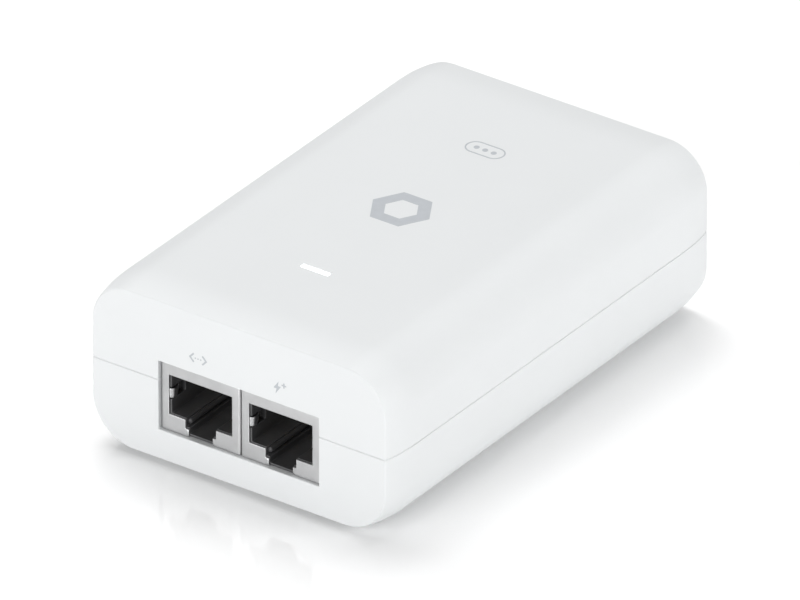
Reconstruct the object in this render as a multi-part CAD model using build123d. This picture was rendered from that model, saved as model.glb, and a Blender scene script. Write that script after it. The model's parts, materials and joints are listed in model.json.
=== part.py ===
from build123d import *
import os
from math import cos, radians, sin, sqrt

os.makedirs("parts", exist_ok=True)

# A mains powered power-over-ethernet injector: a two-part plastic case with a pair of shielded
# network jacks in its front end (towards -Y) and a three-pin mains inlet in its rear end (+Y).
# X is the width, Y the length, Z the height, and the origin is the middle of the underside.

# ---- Case, in millimetres ----
BODY_W = 60.0
BODY_L = 91.2
BODY_H = 31.4
TOP_EDGE_R = 8.5
BOTTOM_EDGE_R = 9.0
END_RUN = 7.3            # length of the band that curves in at each end
END_ARC_R = 29.0         # radius of that band's arc
END_SECTIONS = 4
CREASE_R = 0.25          # rounding where the band meets the flat end panel
WALL = 2.0
PARTING_Z = BODY_H / 2
SEAM_GAP = 0.16          # open groove between the two covers
TONGUE_T = 0.95          # inner lip of the bottom cover, which closes the groove
TONGUE_H = 1.6
TONGUE_FIT = 0.05
FLOOR_Z = WALL
ROOF_Z = BODY_H - WALL
RIB_PLACES = (-10.0, 15.0)
RIB_HALF_W = 20.0
RIB_T = 1.2
RIB_DROP = 1.2           # how far the stiffening ribs hang below the roof
REAR_Y = BODY_L / 2
FRONT_Y = -BODY_L / 2

# ---- Main board ----
BOARD_W = 51.6
BOARD_L = 85.6
BOARD_T = 1.6
BOARD_TOP = 6.5
BOARD_BOTTOM = BOARD_TOP - BOARD_T
BOSS_X = 21.2
BOSS_Y = 38.6
BOSS_R = 2.8
SCREW_R = 1.2
SCREW_HEAD_R = 2.2
SCREW_HEAD_H = 1.6
SCREW_HEAD_EDGE_R = 0.6
DRIVE_L = 2.6            # cross recess in the screw's head
DRIVE_W = 0.6
FILM_HALF_W = 18.0       # insulating film under the board
FILM_HALF_L = 38.0
FILM_T = 0.3

# ---- Network jacks ----
JACK_PITCH = 15.95
JACK_W = 15.85
JACK_H = 12.65
JACK_L = 19.8
JACK_RECESS = 0.6        # the jacks' faces sit behind the front panel
JACK_FACE_Y = FRONT_Y + JACK_RECESS
JACK_Z = BOARD_TOP
PORT_W = 31.9            # opening in the front panel
PORT_BOTTOM = 6.4
PORT_TOP = 19.25
SHEET = 0.3              # thickness of the jack's metal shield
SHEET_FIT = 0.05
FINGER_T = 0.25          # sprung grounding finger on each side of the window
FINGER_CREST = 0.4
FINGER_CREST_Y = 0.8
FINGER_END_Y = 3.2
FINGER_BOTTOM = 12.45
FINGER_H = 1.7
POCKET_Z = (12.2, 14.4)
POCKET_DEPTH = 4.2
POCKET_WALL = 0.5
WINDOW_W = 12.6
WINDOW_BOTTOM = 9.5
WINDOW_TOP = 16.9
NOTCH_UPPER_W = 6.1      # latch notch, wide step then narrow step
NOTCH_LOWER_W = 4.75
NOTCH_STEP_Z = 7.85
CAVITY_W = 11.9
CAVITY_BOTTOM = 9.65
CAVITY_TOP = 16.7
CAVITY_DEPTH = 14.0
LATCH_FLOOR_Z = 6.95

# ---- Contact wires in each jack ----
WIRE = 0.45
WIRE_PITCH = 1.02
WIRE_COUNT = 8
SLOT_W = 0.75
WIRE_TOP_Z = 17.7        # middle of the fixed run in the jack's top wall
BEND_Y = JACK_FACE_Y + 3.4
BEND_R = 0.35
ARM_SLOPE = 20.0
ARM_LENGTH = 7.8
ARM_GAP = 0.08
TAIL_Y = JACK_FACE_Y + 17.6
TAIL_BOTTOM = BOARD_BOTTOM - 1.2
TIP_RUN = 1.3            # upturned end of the arm, along Y and up
TIP_RISE = 0.25

# ---- Mains inlet ----
INLET_W = 26.0
INLET_TOP = 24.5
INLET_REAR = 43.5
INLET_FRONT = 27.5
NOSE_W = 22.4
NOSE_H = 15.6
NOSE_R = 1.6
NOSE_RECESS = 0.3
NOSE_FIT = 0.2
INLET_Z = (BOARD_TOP + INLET_TOP) / 2
SOCKET_DEPTH = 13.0
PIN_R = 1.2
PIN_REACH = 10.0
LOBE_R = 3.9
LINE_PIN_X = 5.0
TAIL_SET_BACK = 2.2      # the pins' tails come down in front of the inlet's block
PIN_CHAMFER = 0.4
LOBE_FLAT = 1.3          # cuts the low lobes' undersides level between them
PIN_DROP = 2.4           # line and neutral below the inlet's middle, earth above it

# ---- Wound parts: places are middles on the board in X and Y ----
CHOKE_PLACE = (-14.5, 17.5)
CHOKE_CORE_R = (4.4, 8.0)
CHOKE_CORE_LIFT = (2.0, 8.0)
CHOKE_COIL_R = (3.2, 9.2)
CHOKE_COIL_LIFT = (0.8, 9.2)
CHOKE_SPLIT = 2.2        # half of the bare stretch of core between the coils
TRANSFORMER_PLACE = (10.5, 1.5)
TRANSFORMER_W = 22.0
TRANSFORMER_H = 18.0
TRANSFORMER_LIFT = 2.4
CORE_DEPTH = 8.0
CORE_LEG = 6.0
CORE_SIDE = 2.6
CORE_YOKE = 3.0
COIL_HALF_L = 8.6
FLANGE_HALF_L = 9.4
FLANGE_T = 1.0
COIL_EDGE_R = 2.4
FOOT_Y = 9.0
INDUCTOR_PLACE = (14.0, -17.2)
INDUCTOR_R = (2.2, 4.3)
INDUCTOR_LIFT = (0.8, 6.8)

# ---- Other parts on the board ----
FUSE_PLACE = (20.5, 33.2)
FUSE_R = 4.1
FUSE_H = 8.0
FUSE_FOOT = (5.0, 3.0, 0.8)
FILM_CAP_PLACE = (20.0, 20.4)
FILM_CAP_SIZE = (8.0, 16.5, 14.0)
FILM_CAP_EDGE_R = 0.8
BRIDGE_PLACE = (-20.6, 1.2)
BRIDGE_SIZE = (3.6, 14.0, 10.0)
BRIDGE_LIFT = 2.0
BRIDGE_LEG_PITCH = 3.5
BRIDGE_LEG_R = 0.45
SINK_PLATE_T = 1.6
SINK_FLANGE_W = 3.2
SINK_L = 13.0
SINK_H = 19.0
DEVICE_T = 4.0
DEVICE_HALF_W = 5.0
DEVICE_LIFT = 4.0
DEVICE_TOP = 13.0
TAB_T = 1.3
TAB_TOP = 16.0
LEG_PITCH = 2.54
CHIP_LEG_PITCH = 1.27
LED_SIZE = (3.2, 1.6, 1.1)

# ---- Label, status light and printed marks ----
LABEL_W = 36.0
LABEL_L = 58.0
LABEL_R = 2.0
LABEL_T = 0.12
LABEL_RECESS = 0.3
LIGHT_W = 5.6
LIGHT_T = 1.15
LIGHT_Y = -24.0
INK = 0.03
SLOT_FIT = 0.03
PIPE_FLANGE_HALF_W = 4.2
PIPE_FLANGE_Y = (-0.9, 1.6)
PIPE_FLANGE_T = 1.2
PIPE_STEM_HALF_W = 2.4
PIPE_STEM_HALF_L = 0.9
MARK_R = 5.6
MARK_BAND = 2.5
BADGE_L = 7.4
BADGE_W = 3.7
BADGE_LINE = 0.25
BADGE_Y = 23.75
ICON_Z = 22.2


# ---- Small helpers ----

def slab(x, y, z):
    """A box between two corners, each axis given as (low, high)."""
    size = [high - low for low, high in (x, y, z)]
    middle = [(high + low) / 2 for low, high in (x, y, z)]
    return Pos(*middle) * Box(*size)


def mirrored_slab(half_x, y, z):
    """A box that is as wide to the left of the middle as to the right."""
    return slab((-half_x, half_x), y, z)


def post(x, y, z, radius):
    """An upright cylinder from z[0] to z[1]."""
    return Pos(x, y, (z[0] + z[1]) / 2) * Cylinder(radius, z[1] - z[0])


def standing(x, y, width, length, height, lift=0.0):
    """A box that stands on the main board."""
    base = BOARD_TOP + lift
    return slab((x - width / 2, x + width / 2), (y - length / 2, y + length / 2), (base, base + height))


def across_y(outline, y0, y1):
    """Extrude an outline drawn in X and Z from y0 to y1."""
    plane = Plane(origin=(0, y1, 0), x_dir=(1, 0, 0), z_dir=(0, -1, 0))
    return extrude(plane * outline, amount=y1 - y0)


def across_x(outline, x_middle, width):
    """Extrude an outline drawn in Y and Z, equally to both sides of x_middle."""
    plane = Plane(origin=(x_middle, 0, 0), x_dir=(0, 1, 0), z_dir=(1, 0, 0))
    return extrude(plane * outline, amount=width / 2, both=True)


# ---- Case ----

def case_section(y, inset):
    """The case's outline across X and Z at y, moved in by inset."""
    outline = Rectangle(BODY_W - 2 * inset, BODY_H - 2 * inset)
    outline = fillet(outline.vertices().group_by(Axis.Y)[-1], TOP_EDGE_R - inset)
    outline = fillet(outline.vertices().group_by(Axis.Y)[0], BOTTOM_EDGE_R - inset)
    return Plane(origin=(0, y, BODY_H / 2), x_dir=(1, 0, 0), z_dir=(0, -1, 0)) * outline


def case_volume(shrink):
    """The case's volume, moved in by shrink on every side."""
    tangent_y = BODY_L / 2 - END_RUN
    middle = extrude(case_section(tangent_y, shrink), amount=2 * tangent_y)
    sections = []
    for step in range(END_SECTIONS + 1):
        along = (END_RUN - shrink) * step / END_SECTIONS
        inset = END_ARC_R - sqrt((END_ARC_R - shrink) ** 2 - along ** 2)
        sections.append(case_section(tangent_y + along, inset))
    rear_end = loft(sections)
    front_end = mirror(rear_end, about=Plane.XZ)
    return middle + rear_end + front_end


def outer_volume():
    """The case's outside, with the crease round each end panel eased."""
    volume = case_volume(0.0)
    creases = volume.faces().sort_by(Axis.Y)[0].edges() + volume.faces().sort_by(Axis.Y)[-1].edges()
    return fillet(creases, CREASE_R)


def case_openings():
    """The cut-outs for the pair of jacks and for the mains inlet, through both covers."""
    port = mirrored_slab(PORT_W / 2, (FRONT_Y - 1, FRONT_Y + 2 * WALL), (PORT_BOTTOM, PORT_TOP))
    nose = RectangleRounded(NOSE_W + 2 * NOSE_FIT, NOSE_H + 2 * NOSE_FIT, NOSE_R + NOSE_FIT)
    inlet = across_y(Pos(0, INLET_Z) * nose, REAR_Y - 2 * WALL, REAR_Y + 1)
    return port + inlet


def band(z0, z1):
    """Everything between two heights."""
    return mirrored_slab(BODY_W, (-BODY_L, BODY_L), (z0, z1))


def top_cover(outer, inner):
    """Upper half of the case, with the light's slot and two stiffening ribs under its roof."""
    edge_z = PARTING_Z + SEAM_GAP / 2
    cover = (outer - inner) & band(edge_z, BODY_H + 1)
    rebate = case_volume(WALL - TONGUE_T - TONGUE_FIT) & band(edge_z - 1, PARTING_Z + TONGUE_H)
    cover = cover - rebate - case_openings()
    for rib_y in RIB_PLACES:
        rib = (rib_y - RIB_T / 2, rib_y + RIB_T / 2)
        cover += mirrored_slab(RIB_HALF_W, rib, (ROOF_Z - RIB_DROP, ROOF_Z + WALL / 2))
    slot_y = (LIGHT_Y - LIGHT_T / 2 - SLOT_FIT, LIGHT_Y + LIGHT_T / 2 + SLOT_FIT)
    return cover - mirrored_slab(LIGHT_W / 2 + SLOT_FIT, slot_y, (ROOF_Z - 1, BODY_H + 1))


def bottom_cover(outer, inner):
    """Lower half of the case, with the tongue, the board's bosses and the label's recess."""
    edge_z = PARTING_Z - SEAM_GAP / 2
    cover = (outer - inner) & band(-1, edge_z)
    tongue = (case_volume(WALL - TONGUE_T) - inner) & band(edge_z - 0.5, PARTING_Z + TONGUE_H)
    cover = cover + tongue - case_openings()
    for x, y in screw_places() + peg_places():
        cover += post(x, y, (FLOOR_Z - 0.5, BOARD_BOTTOM), BOSS_R)
    for x, y in screw_places():
        cover -= post(x, y, (FLOOR_Z - 0.4, BOARD_BOTTOM + 1), SCREW_R)
    for x, y in peg_places():
        cover += post(x, y, (FLOOR_Z, BOARD_TOP - 0.1), SCREW_R)
    label_recess = extrude(RectangleRounded(LABEL_W + 0.4, LABEL_L + 0.4, LABEL_R + 0.2), LABEL_RECESS)
    return cover - label_recess


def screw_places():
    """The two bosses that take the board's screws, in X and Y."""
    return [(-BOSS_X, BOSS_Y), (BOSS_X, -BOSS_Y)]


def peg_places():
    """The two bosses that locate the board with a peg, in X and Y."""
    return [(BOSS_X, BOSS_Y), (-BOSS_X, -BOSS_Y)]


def rating_label():
    """A blank sticker in its recess in the underside."""
    sticker = extrude(RectangleRounded(LABEL_W, LABEL_L, LABEL_R), LABEL_T)
    return Pos(0, 0, LABEL_RECESS - LABEL_T) * sticker


# ---- Jacks ----

def jack_window(clearance_top):
    """The plug's opening with its stepped latch notch, drawn in X and Z about the jack's middle."""
    main = Pos(0, (WINDOW_BOTTOM + WINDOW_TOP) / 2) * Rectangle(WINDOW_W, WINDOW_TOP - WINDOW_BOTTOM)
    upper_h = WINDOW_BOTTOM - NOTCH_STEP_Z + 1
    upper = Pos(0, NOTCH_STEP_Z + upper_h / 2) * Rectangle(NOTCH_UPPER_W, upper_h)
    lower_h = NOTCH_STEP_Z - JACK_Z + 1 + clearance_top
    lower = Pos(0, NOTCH_STEP_Z + clearance_top - lower_h / 2) * Rectangle(NOTCH_LOWER_W, lower_h)
    return main + upper + lower


def ground_finger(side):
    """A sprung tongue folded in from the window's edge, seen from above, on side -1 or 1."""
    root = (side * (WINDOW_W / 2 + SHEET), JACK_FACE_Y + SHEET / 2)
    crest = (side * (WINDOW_W / 2 - FINGER_CREST), JACK_FACE_Y + FINGER_CREST_Y)
    end = (side * (WINDOW_W / 2 + SHEET), JACK_FACE_Y + FINGER_END_Y)
    with BuildLine() as route:
        Polyline(root, crest, end)
    strip = trace(route.line, FINGER_T)
    return Pos(0, 0, FINGER_BOTTOM) * extrude(strip, FINGER_H)


def jack_shield(x):
    """Folded metal can with its plug window and two grounding fingers."""
    half = JACK_W / 2
    rear = JACK_FACE_Y + JACK_L
    can = mirrored_slab(half, (JACK_FACE_Y, rear), (JACK_Z, JACK_Z + JACK_H))
    can -= mirrored_slab(half - SHEET, (JACK_FACE_Y + SHEET, rear - SHEET), (JACK_Z - 1, JACK_Z + JACK_H - SHEET))
    can -= across_y(jack_window(0.2), JACK_FACE_Y - 1, JACK_FACE_Y + SHEET + 0.1)
    can = can + ground_finger(-1) + ground_finger(1)
    return Pos(x, 0, 0) * can


def jack_housing(x):
    """Moulded plug guide: cavity, latch channel, finger pockets and a slot for each contact wire."""
    half = JACK_W / 2 - SHEET - SHEET_FIT
    front = JACK_FACE_Y + SHEET + SHEET_FIT
    rear = JACK_FACE_Y + JACK_L - SHEET - SHEET_FIT
    top = JACK_Z + JACK_H - SHEET - SHEET_FIT
    cavity_y = (front - 1, JACK_FACE_Y + CAVITY_DEPTH)
    body = mirrored_slab(half, (front, rear), (JACK_Z, top))
    body -= mirrored_slab(CAVITY_W / 2, cavity_y, (CAVITY_BOTTOM, CAVITY_TOP))
    body -= mirrored_slab(NOTCH_UPPER_W / 2, cavity_y, (NOTCH_STEP_Z + 0.2, CAVITY_BOTTOM + 1))
    body -= mirrored_slab(NOTCH_LOWER_W / 2, cavity_y, (LATCH_FLOOR_Z, NOTCH_STEP_Z + 1))
    body -= mirrored_slab(half - POCKET_WALL, (front - 1, JACK_FACE_Y + POCKET_DEPTH), POCKET_Z)
    for wire_x in wire_places():
        slot_x = (wire_x - SLOT_W / 2, wire_x + SLOT_W / 2)
        body -= slab(slot_x, (BEND_Y - 1.0, rear + 1), (CAVITY_TOP - 1, WIRE_TOP_Z + 0.5))
        body -= slab(slot_x, (TAIL_Y - 0.5, rear + 1), (JACK_Z - 1, WIRE_TOP_Z + 0.5))
    return Pos(x, 0, 0) * body


def wire_places():
    """The contact wires' places across X, about the jack's middle."""
    return [(index - (WIRE_COUNT - 1) / 2) * WIRE_PITCH for index in range(WIRE_COUNT)]


def wire_route(points_before, arc_end):
    """A wire's fixed run, then its bend down and back, drawn in Y and Z."""
    with BuildLine() as route:
        Polyline(*points_before)
        CenterArc((BEND_Y, WIRE_TOP_Z - BEND_R), BEND_R, 90, arc_end)
    return route.line


def fixed_wires(x):
    """The held part of the eight contact wires, from the board up and forward to the bend."""
    run = [(TAIL_Y, TAIL_BOTTOM), (TAIL_Y, WIRE_TOP_Z), (BEND_Y, WIRE_TOP_Z)]
    outline = trace(wire_route(run, 180 - ARM_SLOPE), WIRE)
    wires = Part()
    for wire_x in wire_places():
        wires += across_x(outline, x + wire_x, WIRE)
    return wires


def arm_pivot():
    """Where the bend ends and the springing arm starts, in Y and Z."""
    angle = radians(270 - ARM_SLOPE)
    return BEND_Y + BEND_R * cos(angle), WIRE_TOP_Z - BEND_R + BEND_R * sin(angle)


def contact_arm(x):
    """The free arm of one contact wire, which slopes down and back into the cavity."""
    pivot_y, pivot_z = arm_pivot()
    slope = radians(ARM_SLOPE)
    along = (cos(slope), -sin(slope))
    start = (pivot_y + ARM_GAP * along[0], pivot_z + ARM_GAP * along[1])
    knee = (pivot_y + ARM_LENGTH * along[0], pivot_z + ARM_LENGTH * along[1])
    tip = (knee[0] + TIP_RUN, knee[1] + TIP_RISE)
    with BuildLine() as route:
        Polyline(start, knee, tip)
    return across_x(trace(route.line, WIRE), x, WIRE)


# ---- Mains inlet ----

def socket_outline(radius):
    """Three-lobed recess outline in X and Z, with lobes of the given radius about the pins."""
    outline = Pos(0, INLET_Z + PIN_DROP) * Circle(radius)
    for x in (-LINE_PIN_X, LINE_PIN_X):
        outline += Pos(x, INLET_Z - PIN_DROP) * Circle(radius)
    fill_h = 2 * PIN_DROP + radius - LOBE_FLAT
    outline += Pos(0, INLET_Z + PIN_DROP - fill_h / 2) * Rectangle(2 * LINE_PIN_X, fill_h)
    return outline


def inlet_housing():
    """Moulded inlet: a block on the board, and a nose that fills the cut-out in the rear panel."""
    block = mirrored_slab(INLET_W / 2, (INLET_FRONT, INLET_REAR), (BOARD_TOP, INLET_TOP))
    nose_end = REAR_Y - NOSE_RECESS
    nose = RectangleRounded(NOSE_W, NOSE_H, NOSE_R)
    housing = block + across_y(Pos(0, INLET_Z) * nose, INLET_REAR - 1, nose_end)
    housing -= across_y(socket_outline(LOBE_R), nose_end - SOCKET_DEPTH, nose_end + 1)
    for x, z in pin_places().values():
        hole = Pos(x, z) * Circle(PIN_R)
        housing -= across_y(hole, INLET_FRONT - 1, nose_end)
    return housing


def pin_places():
    """Each inlet pin's middle in X and Z."""
    low = INLET_Z - PIN_DROP
    return {"line": (-LINE_PIN_X, low), "neutral": (LINE_PIN_X, low), "earth": (0.0, INLET_Z + PIN_DROP)}


def inlet_pin(x, z):
    """A round pin in the socket, with its tail bent down through the board."""
    base_y = REAR_Y - NOSE_RECESS - SOCKET_DEPTH
    tail_y = INLET_FRONT - TAIL_SET_BACK
    prong = across_y(Pos(x, z) * Circle(PIN_R), tail_y, base_y + PIN_REACH)
    prong = chamfer(prong.faces().sort_by(Axis.Y)[-1].edges(), PIN_CHAMFER)
    return prong + post(x, tail_y, (TAIL_BOTTOM, z), PIN_R)


# ---- Board and what stands on it ----

def main_board():
    """Bare board with holes for its screws, the inlet's tails and the jacks' wires."""
    board = extrude(RectangleRounded(BOARD_W, BOARD_L, 2.5), BOARD_T)
    board = Pos(0, 0, BOARD_BOTTOM) * board
    hole_z = (BOARD_BOTTOM - 1, BOARD_TOP + 1)
    for x, y in screw_places() + peg_places():
        board -= post(x, y, hole_z, SCREW_R + 0.15)
    for x, z in pin_places().values():
        board -= post(x, INLET_FRONT - TAIL_SET_BACK, hole_z, PIN_R + 0.2)
    for jack_x in (-JACK_PITCH / 2, JACK_PITCH / 2):
        for wire_x in wire_places():
            board -= post(jack_x + wire_x, TAIL_Y, hole_z, 0.4)
    return board


def board_screw(x, y):
    """Pan-head screw that holds the board down on a boss."""
    shank = post(x, y, (FLOOR_Z, BOARD_TOP), SCREW_R - 0.02)
    head = post(x, y, (BOARD_TOP, BOARD_TOP + SCREW_HEAD_H), SCREW_HEAD_R)
    head = fillet(head.edges().group_by(Axis.Z)[-1], SCREW_HEAD_EDGE_R)
    cross = Box(DRIVE_L, DRIVE_W, SCREW_HEAD_H) + Box(DRIVE_W, DRIVE_L, SCREW_HEAD_H)
    recess = Pos(x, y, BOARD_TOP + SCREW_HEAD_H) * cross
    return shank + head - recess


def insulation_sheet():
    """Clear film between the solder side and the case floor."""
    return mirrored_slab(FILM_HALF_W, (-FILM_HALF_L, FILM_HALF_L), (FLOOR_Z, FLOOR_Z + FILM_T))


def light_pipe():
    """Clear bar that carries the status light from the board up to the roof's slot."""
    window = mirrored_slab(LIGHT_W / 2, (LIGHT_Y - LIGHT_T / 2, LIGHT_Y + LIGHT_T / 2), (ROOF_Z, BODY_H))
    flange_y = (LIGHT_Y + PIPE_FLANGE_Y[0], LIGHT_Y + PIPE_FLANGE_Y[1])
    flange = mirrored_slab(PIPE_FLANGE_HALF_W, flange_y, (ROOF_Z - PIPE_FLANGE_T, ROOF_Z))
    stem_y = (LIGHT_Y - PIPE_STEM_HALF_L, LIGHT_Y + PIPE_STEM_HALF_L)
    stem = mirrored_slab(PIPE_STEM_HALF_W, stem_y, (BOARD_TOP + LED_SIZE[2] + 0.2, ROOF_Z - PIPE_FLANGE_T))
    return window + flange + stem


def disc_part(x, y, radius, thickness, gap=1.5):
    """A round radial part on edge, flat across Y, with two leads down to the board."""
    centre_z = BOARD_TOP + gap + radius
    disc = across_y(Pos(x, centre_z) * Circle(radius), y - thickness / 2, y + thickness / 2)
    disc = fillet(disc.edges(), thickness / 4)
    for lead_x in (x - 2.5, x + 2.5):
        disc += post(lead_x, y, (BOARD_TOP, centre_z), 0.35)
    return disc


def can_capacitor(x, y, radius, height):
    """Electrolytic can with its rolled neck and scored vent."""
    can = post(x, y, (BOARD_TOP, BOARD_TOP + height), radius)
    can = fillet(can.edges(), 0.6)
    neck = post(x, y, (BOARD_TOP + 1.6, BOARD_TOP + 2.6), radius + 1) - post(x, y, (0, BODY_H), radius - 0.35)
    vent = Pos(x, y, BOARD_TOP + height) * (Box(radius, 0.4, 0.4) + Box(0.4, radius, 0.4))
    return can - neck - vent


def ring(x, y, lift, radii):
    """An upright-axis ring between two heights above the board, radii as (inner, outer)."""
    low, high = BOARD_TOP + lift[0], BOARD_TOP + lift[1]
    return post(x, y, (low, high), radii[1]) - post(x, y, (low - 1, high + 1), radii[0])


def choke_parts():
    """Common-mode choke: a ferrite ring with a coil round each half."""
    x, y = CHOKE_PLACE
    core = ring(x, y, CHOKE_CORE_LIFT, CHOKE_CORE_R)
    wrap = ring(x, y, CHOKE_COIL_LIFT, CHOKE_COIL_R) - core
    reach = CHOKE_COIL_R[1] + 1
    coils = {}
    for name, side in (("left", -1), ("right", 1)):
        half = slab(ordered(x + side * CHOKE_SPLIT, x + side * reach), (y - reach, y + reach), (0, BODY_H))
        coils["choke_coil_" + name] = wrap & half
    return {"choke_core": core, **coils}


def transformer_parts():
    """Flyback transformer: a ferrite core with two windows, and the wound bobbin on its middle leg."""
    x, y = TRANSFORMER_PLACE
    window_w = (TRANSFORMER_W - CORE_LEG) / 2 - CORE_SIDE
    z = (BOARD_TOP + TRANSFORMER_LIFT, BOARD_TOP + TRANSFORMER_LIFT + TRANSFORMER_H)
    window_z = (z[0] + CORE_YOKE, z[1] - CORE_YOKE)
    core = mirrored_slab(TRANSFORMER_W / 2, (-CORE_DEPTH / 2, CORE_DEPTH / 2), z)
    for side in (-1, 1):
        window_x = ordered(side * CORE_LEG / 2, side * (CORE_LEG / 2 + window_w))
        core -= slab(window_x, (-CORE_DEPTH, CORE_DEPTH), window_z)
    coil_half = CORE_LEG / 2 + window_w - 0.15
    coil_z = (window_z[0] + FLANGE_T, window_z[1] - FLANGE_T)
    coil = mirrored_slab(coil_half, (-COIL_HALF_L, COIL_HALF_L), coil_z)
    coil = fillet(coil.edges().filter_by(Axis.Z), COIL_EDGE_R)
    for flange_z in ((window_z[0] + 0.1, coil_z[0]), (coil_z[1], window_z[1] - 0.1)):
        coil += mirrored_slab(coil_half, (-FLANGE_HALF_L, FLANGE_HALF_L), flange_z)
    for foot_y in (-FOOT_Y, FOOT_Y):
        coil += mirrored_slab(coil_half, (foot_y - 0.4, foot_y + 0.4), (BOARD_TOP, window_z[0] + 0.5))
    coil -= mirrored_slab(CORE_LEG / 2 + 0.1, (-CORE_DEPTH / 2 - 0.1, CORE_DEPTH / 2 + 0.1), z)
    place = Pos(x, y, 0)
    return {"transformer_core": place * core, "transformer_winding": place * coil}


def heatsink(x, y, fin_side):
    """Aluminium plate on edge along Y, with a flange turned to one side along its top."""
    plate = standing(x, y, SINK_PLATE_T, SINK_L, SINK_H)
    flange_z = (BOARD_TOP + SINK_H - SINK_PLATE_T, BOARD_TOP + SINK_H)
    return plate + slab(ordered(x, x + fin_side * SINK_FLANGE_W), (y - SINK_L / 2, y + SINK_L / 2), flange_z)


def tab_package(x, y, face_side):
    """A tab-mounted power device on a heatsink's face, leads down, turned to face_side."""
    side_y = (y - DEVICE_HALF_W, y + DEVICE_HALF_W)
    body_z = (BOARD_TOP + DEVICE_LIFT, BOARD_TOP + DEVICE_TOP)
    device = slab(ordered(x, x + face_side * DEVICE_T), side_y, body_z)
    device += slab(ordered(x, x + face_side * TAB_T), side_y, (body_z[1], BOARD_TOP + TAB_TOP))
    for lead_y in (y - LEG_PITCH, y, y + LEG_PITCH):
        lead_x = ordered(x + face_side * 1.8, x + face_side * 2.4)
        device += slab(lead_x, (lead_y - 0.4, lead_y + 0.4), (BOARD_TOP, body_z[0] + 0.5))
    return device


def ordered(a, b):
    """Two numbers as (low, high)."""
    return min(a, b), max(a, b)


def chip(x, y, size, pins):
    """Moulded chip of (width, length, height), with a row of gull-wing legs along each Y side."""
    body = standing(x, y, *size, lift=0.1)
    body = chamfer(body.edges().group_by(Axis.Z)[-1], 0.2)
    half_l = size[1] / 2
    for index in range(pins):
        leg_x = x + (index - (pins - 1) / 2) * CHIP_LEG_PITCH
        for side in (-1, 1):
            foot = ordered(y + side * (half_l - 0.3), y + side * (half_l + 1.0))
            body += slab((leg_x - 0.2, leg_x + 0.2), foot, (BOARD_TOP, BOARD_TOP + 0.5))
    return body


def fuse():
    """Radial fuse: a round case on a small foot."""
    x, y = FUSE_PLACE
    low = BOARD_TOP + FUSE_FOOT[2] - 0.2
    return post(x, y, (low, low + FUSE_H), FUSE_R) + standing(x, y, *FUSE_FOOT)


def bridge_rectifier():
    """Flat bridge rectifier on edge, on four legs."""
    x, y = BRIDGE_PLACE
    bridge = standing(x, y, *BRIDGE_SIZE, lift=BRIDGE_LIFT)
    for index in range(4):
        leg_y = y + (index - 1.5) * BRIDGE_LEG_PITCH
        bridge += post(x, leg_y, (BOARD_TOP, BOARD_TOP + BRIDGE_LIFT + 1), BRIDGE_LEG_R)
    return bridge


def power_parts():
    """Everything else that stands on the board, from the mains side to the network side."""
    film_capacitor = standing(*FILM_CAP_PLACE, *FILM_CAP_SIZE)
    return {
        "fuse": fuse(),
        "mains_film_capacitor": fillet(film_capacitor.edges().filter_by(Axis.Z), FILM_CAP_EDGE_R),
        "varistor": disc_part(-20.0, 32.0, radius=5.0, thickness=4.0),
        "bridge_rectifier": bridge_rectifier(),
        "bulk_capacitor": can_capacitor(-9.5, 0.5, radius=8.0, height=20.5),
        "primary_heatsink": heatsink(-24.0, -11.5, fin_side=1),
        "power_switch": tab_package(-23.2, -11.5, face_side=1),
        "safety_capacitor": disc_part(-8.0, -11.2, radius=3.6, thickness=2.8),
        "secondary_heatsink": heatsink(24.0, -19.0, fin_side=-1),
        "output_rectifier": tab_package(23.2, -19.0, face_side=-1),
        "output_capacitor_left": can_capacitor(-3.6, -17.8, radius=4.0, height=15.0),
        "output_capacitor_right": can_capacitor(5.2, -17.8, radius=4.0, height=15.0),
        "output_inductor": ring(*INDUCTOR_PLACE, INDUCTOR_LIFT, INDUCTOR_R),
        "optocoupler": chip(1.6, -11.0, size=(4.6, 4.0, 3.0), pins=2),
        "controller_chip": chip(-15.6, -10.6, size=(4.9, 3.9, 1.5), pins=4),
        "network_magnetics": chip(-15.6, -19.6, size=(14.0, 7.0, 3.5), pins=8),
        "status_led": standing(0.0, LIGHT_Y, *LED_SIZE),
    }


# ---- Printed marks, all plain shapes ----

def roof_mark():
    """A plain six-sided ring on the roof."""
    outline = RegularPolygon(MARK_R, 6) - RegularPolygon(MARK_R - MARK_BAND, 6)
    return Pos(0, 0, BODY_H) * extrude(outline, INK)


def roof_badge():
    """A small pill outline on the roof with three dots in it."""
    badge = SlotOverall(BADGE_L, BADGE_W) - SlotOverall(BADGE_L - 2 * BADGE_LINE, BADGE_W - 2 * BADGE_LINE)
    for x in (-1.7, 0.0, 1.7):
        badge += Pos(x, 0) * Circle(0.5)
    return Pos(0, BADGE_Y, BODY_H) * extrude(badge, INK)


def on_front_panel(outline):
    """Ink of the given outline, drawn in X and Z, on the front panel."""
    return across_y(outline, FRONT_Y - INK, FRONT_Y)


def data_icon():
    """Outline in X and Z: two arrow heads pointing apart, with three dots between them."""
    icon = Sketch()
    for side in (-1, 1):
        arrow = Polyline((side * 0.85, 0.8), (side * 1.6, 0.0), (side * 0.85, -0.8))
        icon += trace(arrow, 0.3)
    for x in (-0.55, 0.0, 0.55):
        icon += Pos(x, 0) * Circle(0.13)
    return Pos(-JACK_PITCH / 2, ICON_Z) * icon


def power_icon():
    """Outline in X and Z: a lightning flash with a small plus beside it."""
    flash = Polyline((0.25, 1.2), (-0.75, -0.2), (-0.15, -0.2), (-0.35, -1.2), (0.7, 0.3), (0.1, 0.3), (0.25, 1.2))
    icon = make_face(flash)
    plus = Pos(1.3, 0.7) * (Rectangle(0.9, 0.25) + Rectangle(0.25, 0.9))
    return Pos(JACK_PITCH / 2 - 0.2, ICON_Z) * (icon + plus)


# ---- Assembly ----

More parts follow.
